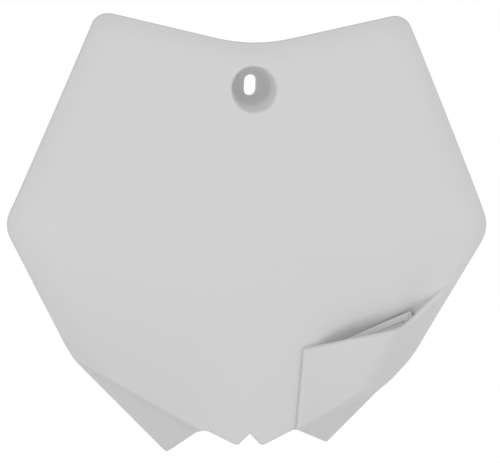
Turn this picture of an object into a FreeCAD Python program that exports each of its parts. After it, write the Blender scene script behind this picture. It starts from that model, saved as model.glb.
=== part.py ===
import FreeCAD, Part
import math
import os

V = FreeCAD.Vector

# Front number plate of an off-road motorcycle: one moulded sheet of constant wall.
# It is drawn in a moulding frame (X right, Y up along the face, Z to the viewer,
# origin on the face at the centre of the screw cup) and turned at the end so that
# the screw axis lies along Y, the face looks to -Y and Z is up. Millimetres.

# Sheet
wall = 2.5
edge_round = 1.0
flap_round = 1.5
crease_round = 1.6

# Outline, heights counted from the centre of the screw cup
plate_w = 250.0
side_lean = 22.9
lower_lean = 29.2
shoulder_y = -71.2
shoulder_r = 16.5
arm_rise = 12.7
arm_base = 21.3
top_hollow_r = 88.0
top_hollow_soft = 9.8
top_corner_r = 9.0
bend_y = -139.0
bend_r = 45.0
wing_lean = 45.4
tip_y_right = -182.8
tip_y_left = -188.0
tip_r = 1.6
notch_x = 24.0
notch_y = -174.8
notch_r = 6.0
lug_x = 6.4
lug_y = -183.4
lug_r = 2.2
vee_y = -177.0
vee_r = 0.8

# Crown of the face
crown_r = 1000.0
crown_r_up = 3000.0
rim_w = 13.0
rim_r = 38.0
rim_soft = 5.0
rim_over = 4.0
flank_x = 20.0
flank_twist = 0.0043
flank_soft = 15.0

# Folded wings at the two lower corners
crease_drop = 1.8
riser_angle = 68.0
riser_depth = 5.0
wing_angle = 42.0
wing_blend_r = 5.0

# Hose flap and the dip of the face above it; places along the flap are shares of its width
flap_x = 27.4
flap_y = -133.4
flap_left_lean = 4.2
flap_rise = 11.1
flap_turn_at = 0.87
flap_rise_out = 42.7
flap_turn_r = 25.0
flap_turn_soft = 4.0
flap_proud = 2.5
flap_proud_edge = 0.9
flap_bulge = 4.5
flap_foot_sag = 4.4
dip_depth = 6.5
dip_height = 24.0
dip_full_at = 0.5
dip_fade_w = 20.0
dip_under = 0.4
dip_under_run = 0.2
shelf_back = 25.0
shelf_back_w = 17.0
tilt_slope = 0.035
tilt_soft = 4.0
tilt_start_up = 16.0
tilt_run = 50.0
opening_from = 0.2
opening_to = 1.0
opening_up = 4.0
opening_down = 14.0
shelf_h = 6.5
shelf_step = 0.3
shelf_side = 3.0
shelf_up = 8.0

# Hose hook behind the flap
hose_d = 6.0
hook_t = 1.6
hook_h = 3.0
hook_rise = 22.0
hook_root_at = 0.30
hook_root_share = 0.14
hook_bend_rear = 0.55
hook_bend_front = 0.58
hook_tip_at = 0.957
hook_tip_up = 2.8
hook_gap = 5.0
hook_pad_l = 5.0
hook_pad_drop = 3.5
hook_web_step = 0.6
hook_web_drop = 4.0

# Screw cup and slot
cup_depth = 13.0
cup_floor = 2.7
cup_rim_d = 23.5
cup_floor_d = 18.5
cup_lip_r = 1.5
cup_corner_r = 1.2
cup_tilt = 7.5
slot_w = 6.4
slot_l = 11.0

# Room around the plate for the forming blocks
margin = 14.0
front_floor = -70.0
back_floor = -90.0
ceiling = 50.0
grid = 5.0
border = 4.0
probe = 0.05
flap_room = 60.0
crease_before = 4.0
crease_beyond = 50.0
far_off = 500.0

# How near an edge must lie to be picked for rounding, and into how many steps it is divided to tell
near_face = 0.08
near_line = 0.02
edge_steps = 6

half_w = plate_w / 2.0


def sin(angle):
    return math.sin(math.radians(angle))


def cos(angle):
    return math.cos(math.radians(angle))


def tan(angle):
    return math.tan(math.radians(angle))


def meet(p, heading_p, q, heading_q):
    # crossing of two lines, each given by a point and a heading
    ux, uy = cos(heading_p), sin(heading_p)
    vx, vy = cos(heading_q), sin(heading_q)
    far = ((q[0] - p[0]) * vy - (q[1] - p[1]) * vx) / (ux * vy - uy * vx)
    return (p[0] + far * ux, p[1] + far * uy)


def rounded(corners):
    # closed wire of straight sides; each corner (x, y, radius) is rounded by a tangent arc
    count = len(corners)
    arcs = []
    for i in range(count):
        p = V(corners[i][0], corners[i][1], 0)
        r = corners[i][2]
        if r <= 0.0:
            arcs.append((p, None, p))
            continue
        before = (V(corners[i - 1][0], corners[i - 1][1], 0) - p).normalize()
        after = (V(corners[(i + 1) % count][0], corners[(i + 1) % count][1], 0) - p).normalize()
        half = before.getAngle(after) / 2.0
        reach = r / math.tan(half)
        axis = (before + after).normalize()
        arcs.append((p + before * reach, p + axis * (r / math.sin(half) - r), p + after * reach))
    edges = []
    for i in range(count):
        start, middle, end = arcs[i]
        if middle is not None:
            edges.append(Part.Arc(start, middle, end).toShape())
        edges.append(Part.makeLine(end, arcs[(i + 1) % count][0]))
    return Part.Wire(edges)


def prism(wire):
    face = Part.Face(wire)
    face.translate(V(0, 0, back_floor - margin))
    return face.extrude(V(0, 0, ceiling - back_floor + 2.0 * margin))


# Outline corners of the right half
shoulder_turn = (lower_lean + side_lean) / 2.0
shoulder_x = half_w + shoulder_r * (cos(lower_lean - shoulder_turn) / cos(shoulder_turn) - 1.0)
top_corner = meet((0.0, arm_base), arm_rise, (shoulder_x, shoulder_y), 90.0 + side_lean)
bend_x = shoulder_x - (shoulder_y - bend_y) * tan(lower_lean)


def wing_edge_x(y):
    return bend_x - (bend_y - y) * tan(wing_lean)


outline = rounded([
    (0.0, arm_base, top_hollow_r),
    (top_corner[0], top_corner[1], top_corner_r),
    (shoulder_x, shoulder_y, shoulder_r),
    (bend_x, bend_y, bend_r),
    (wing_edge_x(tip_y_right), tip_y_right, tip_r),
    (notch_x, notch_y, notch_r),
    (lug_x, lug_y, lug_r),
    (0.0, vee_y, vee_r),
    (-lug_x, lug_y, lug_r),
    (-notch_x, notch_y, notch_r),
    (-wing_edge_x(tip_y_left), tip_y_left, tip_r),
    (-bend_x, bend_y, bend_r),
    (-shoulder_x, shoulder_y, shoulder_r),
    (-top_corner[0], top_corner[1], top_corner_r),
])
lowest = min(tip_y_left, tip_y_right) - margin


def hinge(v, soft):
    # nothing for negative v, v for positive v, with a soft change between
    return (v + math.sqrt(v * v + soft * soft)) / 2.0


def ease(v):
    # smooth step from 0 to 1
    v = min(max(v, 0.0), 1.0)
    return v * v * v * (v * (6.0 * v - 15.0) + 10.0)


def roll(inside):
    # set-back of the rolled rim at a distance inside the outline
    reach = hinge(rim_w - inside, rim_soft)
    straight = rim_w + rim_over
    if reach <= straight:
        return reach * reach / (2.0 * rim_r)
    return straight * (2.0 * reach - straight) / (2.0 * rim_r)


def inside_lower(x, y):
    # distance inside the lower side of the outline
    return (shoulder_x - x) * cos(lower_lean) + (y - shoulder_y) * sin(lower_lean)


def crown(x, y):
    # set-back of the plain face behind its foremost line
    ax = abs(x)
    back = x * x / (2.0 * crown_r) + (y - shoulder_y) ** 2 / (2.0 * crown_r_up)
    arm = arm_base + tan(arm_rise) * math.hypot(x, top_hollow_soft)
    back += roll((arm - y) * cos(arm_rise))
    back += roll((shoulder_x - ax) * cos(side_lean) - (y - shoulder_y) * sin(side_lean))
    back += roll(inside_lower(ax, y))
    back += flank_twist * hinge(shoulder_y - y, flank_soft) * hinge(ax - flank_x, flank_soft)
    return back


flap_w = bend_x - flap_x


def along(share):
    # place along the flap, counted from its left edge
    return flap_x + share * flap_w


flap_turn_x = along(flap_turn_at)
flap_turn_y = flap_y + (flap_turn_x - flap_x) * tan(flap_rise)


def flap_edge(x):
    low, high = tan(flap_rise), tan(flap_rise_out)
    return flap_turn_y + low * (x - flap_turn_x) + (high - low) * hinge(x - flap_turn_x, flap_turn_soft)


def fade(x, y):
    # nothing at the lower right side of the outline, one well inside it
    return ease((inside_lower(x, y) - edge_round) / dip_fade_w)


def dip(x, y):
    # hollow of the face above the flap; it runs on behind the flap and then comes back to the plain face
    up = y - flap_edge(x)
    h = up / dip_height
    depth = max(1.0 - h, 0.0) ** 2 if h > 0.0 else 1.0 + dip_under * (1.0 - math.exp(h / dip_under_run))
    depth *= ease((x - flap_x) / (along(dip_full_at) - flap_x)) * ease((up + shelf_back) / shelf_back_w)
    tilt = tilt_slope * hinge(x - flap_x - tilt_soft / 2.0, tilt_soft)
    return (dip_depth * depth + tilt * ease((shoulder_y + tilt_start_up - y) / tilt_run)) * fade(x, y)


def face_main(x, y):
    return crown(0.0, 0.0) - crown(x, y) - dip(x, y)


def face_flap(x, y):
    bulge = flap_bulge * ease((x - flap_x) / (flap_turn_x - flap_x))
    proud = flap_proud_edge + (flap_proud - flap_proud_edge + bulge) * fade(x, y)
    return crown(0.0, 0.0) - crown(x, y) + proud


def block(height, inset, x_range, y_range, floor):
    # solid behind a smooth surface that is moved in along its normals
    x0, x1 = x_range
    y0, y1 = y_range
    nx = int(round((x1 - x0) / grid))
    ny = int(round((y1 - y0) / grid))
    d = probe
    rows = []
    for i in range(nx + 1):
        x = x0 + (x1 - x0) * i / nx
        row = []
        for j in range(ny + 1):
            y = y0 + (y1 - y0) * j / ny
            n = V(height(x - d, y) - height(x + d, y), height(x, y - d) - height(x, y + d), 2.0 * d)
            row.append(V(x, y, height(x, y)) - n.normalize() * inset)
        rows.append(row)
    surface = Part.BSplineSurface()
    surface.interpolate(rows)
    solid = surface.toShape().extrude(V(0, 0, 2.0 * back_floor))
    w, h = x1 - x0 - 2.0 * border, y1 - y0 - 2.0 * border
    return solid.common(Part.makeBox(w, h, ceiling - floor, V(x0 + border, y0 + border, floor)))


def main_block(inset, floor):
    sides = (-half_w - margin, half_w + margin)
    return block(face_main, inset, sides, (lowest, top_corner[1] + margin), floor)


def flap_block(inset, floor):
    sides = (flap_x - margin, half_w + margin)
    return block(face_flap, inset, sides, (lowest, flap_y + flap_room), floor)


def flap_plan(inset):
    # plan of the flap: left and upper edge moved in, open to the right and below
    lean = 90.0 - flap_left_lean
    left = (flap_x + inset / cos(flap_left_lean), flap_y)
    low = (flap_turn_x, flap_turn_y - inset / cos(flap_rise))
    high = (flap_turn_x, flap_turn_y - inset / cos(flap_rise_out))
    corner = meet(left, lean, low, flap_rise)
    turn = meet(low, flap_rise, high, flap_rise_out)
    foot = meet(left, lean, (0.0, lowest + border), 0.0)
    far = meet(high, flap_rise_out, (half_w + margin - border, 0.0), 90.0)
    return prism(rounded([
        (corner[0], corner[1], 0.0),
        (turn[0], turn[1], flap_turn_r + inset),
        (far[0], far[1], 0.0),
        (far[0], foot[1], 0.0),
        (foot[0], foot[1], 0.0),
    ]))


# Crease of the right wing: from the notch to the bend of the outline
crease_in = V(notch_x, notch_y - crease_drop, face_main(-notch_x, notch_y))
crease_out = V(bend_x, bend_y - crease_drop / 2.0, face_main(-bend_x, bend_y))
crease_run = crease_out - crease_in


def across(run):
    return V(run.y, -run.x, 0).normalize()


def riser_normal(run):
    return run.cross(across(run) * cos(riser_angle) - V(0, 0, sin(riser_angle))).normalize()


def wing_tool(inset):
    # room in front of the right wing: riser, hollow blend and wing, moved in
    reach = half_w / 2.0
    riser = (-inset * sin(riser_angle), inset * cos(riser_angle))
    foot = (riser_depth / tan(riser_angle), riser_depth)
    wing = (foot[0] - inset * sin(wing_angle), foot[1] + inset * cos(wing_angle))
    start = meet(riser, riser_angle, (0.0, -reach), 0.0)
    turn = meet(riser, riser_angle, wing, wing_angle)
    end = meet(wing, wing_angle, (reach, 0.0), 90.0)
    profile = Part.Face(rounded([
        (start[0], start[1], 0.0),
        (turn[0], turn[1], wing_blend_r + inset),
        (end[0], end[1], 0.0),
        (end[0], start[1], 0.0),
    ]))
    facing = FreeCAD.Rotation(across(crease_run), V(0, 0, -1), V(0, 0, 0), "XYZ")
    profile.Placement = FreeCAD.Placement(V(0, 0, 0), facing)
    run = crease_run * (1.0 / crease_run.Length)
    profile.translate(crease_in - run * crease_before)
    return profile.extrude(run * (crease_run.Length + crease_beyond))


def wing_tools(inset):
    tool = wing_tool(inset)
    return [tool, mirrored(tool)]


def mirrored(shape):
    return shape.mirror(V(0, 0, 0), V(1, 0, 0))


def points(edge):
    a, b = edge.FirstParameter, edge.LastParameter
    return [edge.valueAt(a + (b - a) * k / edge_steps) for k in range(edge_steps + 1)]


def pick(shape, test):
    # edges whose points all pass the test
    return [e for e in shape.Edges if all(test(p) for p in points(e))]


def on_crease(p):
    right = V(abs(p.x), p.y, p.z)
    off_plane = (right - crease_in).dot(riser_normal(crease_run))
    return abs(p.z - face_main(p.x, p.y)) < near_face and abs(off_plane) < near_line


def on_rim(p):
    return p.z > front_floor + margin and Part.Vertex(V(p.x, p.y, 0)).distToShape(outline)[0] < near_line


def lies_flat(edge):
    a, b = points(edge)[0], points(edge)[-1]
    return math.hypot(a.x - b.x, a.y - b.y) > near_line


def on_flap(p):
    return abs(p.z - face_flap(p.x, p.y)) < near_face


# Front form: face, wings, rounded creases and rim
front = main_block(0.0, front_floor).cut(wing_tools(0.0)).common(prism(outline))
front = front.makeFillet(crease_round, pick(front, on_crease))
front = front.makeFillet(edge_round, [e for e in pick(front, on_rim) if lies_flat(e)])

# Flap: raised sheet trimmed by the riser plane and the outer side of the outline
trim = prism(rounded([
    (0.0, arm_base, 0.0),
    (top_corner[0], top_corner[1], 0.0),
    (shoulder_x, shoulder_y, shoulder_r),
    (bend_x, bend_y, bend_r),
    (wing_edge_x(lowest), lowest, 0.0),
    (0.0, lowest, 0.0),
]))
above_riser = Part.makeBox(2.0 * far_off, 2.0 * far_off, far_off, V(-far_off, -far_off, 0))
upright = FreeCAD.Rotation(V(0, 0, 1), riser_normal(crease_run - V(0, flap_foot_sag, 0)))
above_riser.Placement = FreeCAD.Placement(crease_in, upright)
flap = flap_block(0.0, front_floor + margin).common(flap_plan(0.0)).common(above_riser).common(trim)
flap = flap.makeFillet(flap_round, pick(flap, on_flap))
notch_room = Part.makeBox(half_w, 2.0 * margin, far_off, V(notch_x - margin, lowest, -far_off / 2.0))
front = front.fuse(flap).cut(notch_room.cut(prism(outline)))


def along_flap(x0, x1, up, down):
    # room that follows the upper edge of the flap
    corners = [(x, flap_edge(x) + up, 0.0) for x in (x0, flap_turn_x, x1)]
    corners += [(x, flap_edge(x) - down, 0.0) for x in (x1, flap_turn_x, x0)]
    return prism(rounded(corners))


# Back form, one wall behind the front; the opening above the flap leaves the dip standing as a shelf
opened = flap_plan(wall).fuse(along_flap(along(opening_from), along(opening_to), opening_up, opening_down))
behind_flap = flap_block(wall, back_floor + margin).common(opened)
shelf = main_block(-shelf_step, back_floor)
shelf_ends = (along(opening_from) - shelf_side, along(opening_to) + shelf_side)
shelf = shelf.common(along_flap(shelf_ends[0], shelf_ends[1], shelf_up, shelf_h))
back = main_block(wall, back_floor).fuse(behind_flap.cut(shelf)).cut(wing_tools(wall))

# Hose hook: a finger from the back of the flap, running up behind its edge
run_x = cos(hook_rise)
run_y = sin(hook_rise)
root_x = along(hook_root_at)
tip_x = along(hook_tip_at)
tip_y = flap_edge(tip_x) + hook_tip_up
hook_l = (tip_x - root_x) / run_x
root_y = tip_y - hook_l * run_y
z_root = face_flap(root_x, root_y) - wall
z_tip = face_flap(tip_x, tip_y) - wall
rear = hose_d + hook_t


def hook_piece(corners, drop):
    # profile of (run, depth behind the flap) corners, drawn at the top line and extruded down
    face = Part.Face(rounded(corners))
    run = V(run_x, run_y, (z_tip - z_root) / hook_l)
    down = V(run_y, -run_x, 0)
    m = FreeCAD.Matrix(
        run.x, 0.0, down.x, root_x,
        run.y, 0.0, down.y, root_y,
        run.z, -1.0, 0.0, z_root,
        0.0, 0.0, 0.0, 1.0)
    return face.transformGeometry(m).extrude(down * drop)


finger = hook_piece([
    (0.0, -wall / 2.0, 0.0),
    (0.0, hook_t / 2.0, 0.0),
    (hook_l * hook_bend_rear, rear, hook_t * 2.0),
    (hook_l, rear, hook_t),
    (hook_l, hook_gap, hook_t / 3.0),
    (hook_l - hook_t, hook_gap, hook_t / 3.0),
    (hook_l - hook_t, hose_d, hook_t / 2.0),
    (hook_l * hook_bend_front, hose_d, hook_t * 2.0),
    (hook_l * hook_root_share, -wall / 2.0, 0.0),
], hook_h)
pad = hook_piece([
    (hook_l - hook_pad_l, hose_d, 0.0),
    (hook_l - hook_pad_l, rear, 0.0),
    (hook_l, rear, hook_t),
    (hook_l, hook_gap, hook_t / 3.0),
    (hook_l - hook_t, hook_gap, hook_t / 3.0),
    (hook_l - hook_t, hose_d, hook_t / 2.0),
], hook_h + hook_pad_drop)
web = hook_piece([
    (hook_web_step, -wall / 2.0, 0.0),
    (hook_web_step, 0.0, 0.0),
    (hook_l * hook_bend_rear, rear - hook_web_step / 2.0, 0.0),
    (hook_l - hook_web_step, rear - hook_web_step / 2.0, 0.0),
    (hook_l - hook_web_step, hose_d + hook_web_step, 0.0),
    (hook_l * hook_bend_front, hose_d + hook_web_step, 0.0),
    (hook_l * hook_root_share, hook_web_step - wall / 2.0, 0.0),
], hook_h + hook_web_drop)
web = web.common(prism(rounded([
    (0.0, root_y - hook_web_step - root_x * tan(hook_rise), 0.0),
    (half_w, root_y - hook_web_step + (half_w - root_x) * tan(hook_rise), 0.0),
    (half_w, lowest, 0.0),
    (0.0, lowest, 0.0),
])))
hook = finger.fuse([pad, web])

# Screw cup about the Y axis of the finished frame, seat at the origin
seat_d = cup_depth + cup_floor
cup_lean = math.degrees(math.atan((cup_rim_d - cup_floor_d) / 2.0 / cup_depth))


def turned(shape):
    done = shape.copy()
    done.translate(V(0, -seat_d * sin(cup_tilt), seat_d * cos(cup_tilt)))
    done.rotate(V(0, 0, 0), V(1, 0, 0), 90.0 - cup_tilt)
    return done


def cup_tool(grow, floor_y, corner_r):
    # room inside the cup, or the cup body when grown by the wall
    mouth_y = -seat_d - margin
    r_floor = cup_floor_d / 2.0 + grow / cos(cup_lean) - (floor_y + cup_floor) * tan(cup_lean)
    r_mouth = r_floor + (floor_y - mouth_y) * tan(cup_lean)
    return Part.Face(rounded([
        (0.0, floor_y, 0.0),
        (r_floor, floor_y, corner_r),
        (r_mouth, mouth_y, 0.0),
        (0.0, mouth_y, 0.0),
    ])).revolve(V(0, 0, 0), V(0, 1, 0), 360)


def on_lip(p):
    r = cup_floor_d / 2.0 - (p.y + cup_floor) * tan(cup_lean)
    return p.y < -seat_d / 2.0 and abs(math.hypot(p.x, p.z) - r) < near_line


front = turned(front).cut(cup_tool(0.0, -cup_floor, cup_corner_r))
front = front.makeFillet(cup_lip_r, pick(front, on_lip))
back = turned(back).cut(cup_tool(wall, 0.0, 0.0))
plate = front.cut(back).fuse(turned(hook))

# Upright slot through the cup floor
reach = slot_l / 2.0 - slot_w / 2.0
r = slot_w / 2.0
slot = Part.Wire([
    Part.makeLine(V(r, -seat_d, -reach), V(r, -seat_d, reach)),
    Part.Arc(V(r, -seat_d, reach), V(0, -seat_d, reach + r), V(-r, -seat_d, reach)).toShape(),
    Part.makeLine(V(-r, -seat_d, reach), V(-r, -seat_d, -reach)),
    Part.Arc(V(-r, -seat_d, -reach), V(0, -seat_d, -reach - r), V(r, -seat_d, -reach)).toShape(),
])
plate = plate.cut(Part.Face(slot).extrude(V(0, 2.0 * seat_d, 0)))

os.makedirs("parts", exist_ok=True)
plate.exportStep("parts/number_plate.step")
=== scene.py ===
import math

import bmesh
import bpy
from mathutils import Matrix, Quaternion, Vector


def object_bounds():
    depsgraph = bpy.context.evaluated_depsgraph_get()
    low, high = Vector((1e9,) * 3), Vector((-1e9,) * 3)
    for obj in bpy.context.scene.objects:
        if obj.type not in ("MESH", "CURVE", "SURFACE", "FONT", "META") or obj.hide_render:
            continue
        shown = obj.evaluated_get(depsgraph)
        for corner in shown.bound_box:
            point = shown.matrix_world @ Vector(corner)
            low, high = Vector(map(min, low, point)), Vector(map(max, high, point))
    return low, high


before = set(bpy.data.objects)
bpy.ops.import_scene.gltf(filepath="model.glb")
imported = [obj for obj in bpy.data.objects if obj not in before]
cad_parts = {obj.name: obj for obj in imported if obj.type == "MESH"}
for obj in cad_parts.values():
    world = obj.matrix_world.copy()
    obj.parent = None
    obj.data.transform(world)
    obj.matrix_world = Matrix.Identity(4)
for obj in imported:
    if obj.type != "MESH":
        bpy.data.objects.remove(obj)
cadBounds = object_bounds()
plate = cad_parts["number_plate"]
print("frame loaded")


def newMaterial(name):
    material = bpy.data.materials.new(name)
    material.use_nodes = True
    material.node_tree.nodes.clear()
    return material, material.node_tree.nodes, material.node_tree.links


def grey(level):
    return (level, level, level, 1.0)


# Plate: satin white moulded plastic with a fine grain
plateLook = {
    "tone": 0.66,               # linear grey of the plastic
    "toneSpread": 0.006,        # cloudiness of the plastic
    "cloudSize": 0.06,          # metres
    "cloudDetail": 3.0,
    "roughness": 0.42,
    "roughSpread": 0.05,
    "grainSize": 0.0009,        # metres, texture of the mould
    "grainDetail": 2.0,
    "grainHeight": 0.000004,    # metres
    "bending": 1.49,            # index of refraction
    "shine": 0.15,
    "weld": 0.00001,            # metres, joins the loose triangles
    "sharpAngle": 28.0,         # degrees, edges above it stay sharp
}


def plasticMaterial(look):
    material, nodes, links = newMaterial("satin white plastic")
    place = nodes.new("ShaderNodeTexCoord")
    cloud = nodes.new("ShaderNodeTexNoise")
    cloud.inputs["Scale"].default_value = 1.0 / look["cloudSize"]
    cloud.inputs["Detail"].default_value = look["cloudDetail"]
    links.new(place.outputs["Object"], cloud.inputs["Vector"])
    grain = nodes.new("ShaderNodeTexNoise")
    grain.inputs["Scale"].default_value = 1.0 / look["grainSize"]
    grain.inputs["Detail"].default_value = look["grainDetail"]
    links.new(place.outputs["Object"], grain.inputs["Vector"])
    tone = nodes.new("ShaderNodeMapRange")
    tone.inputs["To Min"].default_value = look["tone"] - look["toneSpread"]
    tone.inputs["To Max"].default_value = look["tone"] + look["toneSpread"]
    links.new(cloud.outputs["Fac"], tone.inputs["Value"])
    colour = nodes.new("ShaderNodeCombineColor")
    for channel in ("Red", "Green", "Blue"):
        links.new(tone.outputs["Result"], colour.inputs[channel])
    rough = nodes.new("ShaderNodeMapRange")
    rough.inputs["To Min"].default_value = look["roughness"] - look["roughSpread"]
    rough.inputs["To Max"].default_value = look["roughness"] + look["roughSpread"]
    links.new(grain.outputs["Fac"], rough.inputs["Value"])
    bump = nodes.new("ShaderNodeBump")
    bump.inputs["Strength"].default_value = 1.0
    bump.inputs["Distance"].default_value = look["grainHeight"]
    links.new(grain.outputs["Fac"], bump.inputs["Height"])
    shader = nodes.new("ShaderNodeBsdfPrincipled")
    shader.inputs["IOR"].default_value = look["bending"]
    shader.inputs["Specular IOR Level"].default_value = look["shine"]
    links.new(colour.outputs["Color"], shader.inputs["Base Color"])
    links.new(rough.outputs["Result"], shader.inputs["Roughness"])
    links.new(bump.outputs["Normal"], shader.inputs["Normal"])
    out = nodes.new("ShaderNodeOutputMaterial")
    links.new(shader.outputs["BSDF"], out.inputs["Surface"])
    return material


def smoothPlate(piece, look):
    for polygon in piece.data.polygons:
        polygon.use_smooth = True
    weld = piece.modifiers.new("join faces", "WELD")
    weld.merge_threshold = look["weld"]
    split = piece.modifiers.new("sharp edges", "EDGE_SPLIT")
    split.split_angle = math.radians(look["sharpAngle"])
    even = piece.modifiers.new("even shading", "WEIGHTED_NORMAL")
    even.keep_sharp = True


plate.data.materials.clear()
plate.data.materials.append(plasticMaterial(plateLook))
smoothPlate(plate, plateLook)
print("plate finished")


# Studio: pale floor, white all round, soft light from the front, from low down and from above
studio = {
    "floorGap": 0.3,               # metres below the lowest tip
    "floorSize": 0.6,              # metres
    "floorTone": 0.7,
    "floorFill": 0.55,             # what the lit floor lacks to white for the lens; its shadow stays
    "skyLevel": 1.02,
    "groundLevel": 1.5,            # light thrown back by the ground
    "groundBlend": (0.1, -0.5),    # from sky to ground, as a share of straight up
    "skyStops": [                  # place from behind to the lens, level
        (0.0, 0.85),
        (0.25, 0.6),
        (0.47, 0.16),
        (0.7, 0.98),
        (0.9, 1.15),
        (0.965, 0.16),
    ],
    "keyPlace": (-0.6, -1.2, 1.2),
    "keySize": 1.2,                # metres
    "keyPower": 2.0,               # watts
}


def seenRays(nodes, links):
    # one for the lens and for mirrored or clear rays, nothing for the rays that light the part
    path = nodes.new("ShaderNodeLightPath")
    seen = path.outputs["Is Camera Ray"]
    for ray in ("Is Glossy Ray", "Is Transmission Ray"):
        either = nodes.new("ShaderNodeMath")
        either.operation = "MAXIMUM"
        links.new(seen, either.inputs[0])
        links.new(path.outputs[ray], either.inputs[1])
        seen = either.outputs["Value"]
    return seen


def makeFloor(look):
    low = cadBounds[0][2] - look["floorGap"]
    mesh = bpy.data.meshes.new("studio floor")
    sheet = bmesh.new()
    bmesh.ops.create_grid(sheet, x_segments=1, y_segments=1, size=look["floorSize"] / 2.0)
    bmesh.ops.translate(sheet, verts=sheet.verts, vec=(0.0, 0.0, low))
    sheet.to_mesh(mesh)
    sheet.free()
    floor = bpy.data.objects.new("studio floor", mesh)
    bpy.context.scene.collection.objects.link(floor)
    material, nodes, links = newMaterial("pale floor")
    matt = nodes.new("ShaderNodeBsdfDiffuse")
    matt.inputs["Color"].default_value = grey(look["floorTone"])
    amount = nodes.new("ShaderNodeMath")
    amount.operation = "MULTIPLY"
    amount.inputs[1].default_value = look["floorFill"]
    links.new(seenRays(nodes, links), amount.inputs[0])
    fill = nodes.new("ShaderNodeEmission")
    links.new(amount.outputs["Value"], fill.inputs["Strength"])
    both = nodes.new("ShaderNodeAddShader")
    links.new(matt.outputs["BSDF"], both.inputs[0])
    links.new(fill.outputs["Emission"], both.inputs[1])
    out = nodes.new("ShaderNodeOutputMaterial")
    links.new(both.outputs["Shader"], out.inputs["Surface"])
    mesh.materials.append(material)


def makeSky(look):
    world = bpy.data.worlds.new("studio sky")
    bpy.context.scene.world = world
    world.use_nodes = True
    nodes, links = world.node_tree.nodes, world.node_tree.links
    nodes.clear()
    heading = nodes.new("ShaderNodeTexCoord")
    axes = nodes.new("ShaderNodeSeparateXYZ")
    links.new(heading.outputs["Generated"], axes.inputs["Vector"])
    front = nodes.new("ShaderNodeMapRange")
    front.inputs["From Min"].default_value = 1.0
    front.inputs["From Max"].default_value = -1.0
    links.new(axes.outputs["Y"], front.inputs["Value"])
    ramp = nodes.new("ShaderNodeValToRGB")
    ramp.color_ramp.interpolation = "EASE"
    stops = ramp.color_ramp.elements
    while len(stops) < len(look["skyStops"]):
        stops.new(1.0)
    for stop, (place, level) in zip(stops, look["skyStops"]):
        stop.position = place
        stop.color = grey(level)
    links.new(front.outputs["Result"], ramp.inputs["Fac"])
    ground = nodes.new("ShaderNodeMapRange")
    ground.interpolation_type = "SMOOTHSTEP"
    ground.inputs["From Min"].default_value = look["groundBlend"][0]
    ground.inputs["From Max"].default_value = look["groundBlend"][1]
    ground.inputs["To Min"].default_value = look["skyLevel"]
    ground.inputs["To Max"].default_value = look["groundLevel"]
    links.new(axes.outputs["Z"], ground.inputs["Value"])
    sky = nodes.new("ShaderNodeBackground")
    links.new(ground.outputs["Result"], sky.inputs["Strength"])
    links.new(ramp.outputs["Color"], sky.inputs["Color"])
    white = nodes.new("ShaderNodeBackground")
    white.inputs["Color"].default_value = grey(1.0)
    mix = nodes.new("ShaderNodeMixShader")
    links.new(seenRays(nodes, links), mix.inputs["Fac"])
    links.new(sky.outputs["Background"], mix.inputs[1])
    links.new(white.outputs["Background"], mix.inputs[2])
    out = nodes.new("ShaderNodeOutputWorld")
    links.new(mix.outputs["Shader"], out.inputs["Surface"])


def makeKey(look):
    lamp = bpy.data.lights.new("soft key", "AREA")
    lamp.shape = "SQUARE"
    lamp.size = look["keySize"]
    lamp.energy = look["keyPower"]
    key = bpy.data.objects.new("soft key", lamp)
    key.location = look["keyPlace"]
    middle = (Vector(cadBounds[0]) + Vector(cadBounds[1])) / 2.0
    aim = middle - key.location
    key.rotation_euler = aim.to_track_quat("-Z", "Y").to_euler()
    bpy.context.scene.collection.objects.link(key)


makeFloor(studio)
makeSky(studio)
makeKey(studio)
print("studio finished")


# Camera: a long lens, a little to the left and above
view = {
    "azimuth": -10.12,    # degrees, from the front towards the left
    "elevation": 8.89,    # degrees
    "roll": 0.0324,       # radians, the picture's right side sits lower
    "distance": 4.0,      # metres
    "target": (0.00036, -0.0145, -0.0744),
    "lens": 560.3,        # millimetres
    "sensor": 36.0,       # millimetres
    "farthest": 20.0,     # metres
}


def makeCamera(look):
    turn, lift = math.radians(look["azimuth"]), math.radians(look["elevation"])
    back = Vector((math.sin(turn) * math.cos(lift), -math.cos(turn) * math.cos(lift), math.sin(lift)))
    data = bpy.data.cameras.new("camera")
    data.sensor_width = look["sensor"]
    data.lens = look["lens"]
    data.clip_end = look["farthest"]
    camera = bpy.data.objects.new("camera", data)
    camera.location = Vector(look["target"]) + back * look["distance"]
    aim = (-back).to_track_quat("-Z", "Y") @ Quaternion((0.0, 0.0, 1.0), look["roll"])
    camera.rotation_euler = aim.to_euler()
    bpy.context.scene.collection.objects.link(camera)
    bpy.context.scene.camera = camera


makeCamera(view)
bpy.context.scene.view_settings.view_transform = "Standard"
print("camera placed")
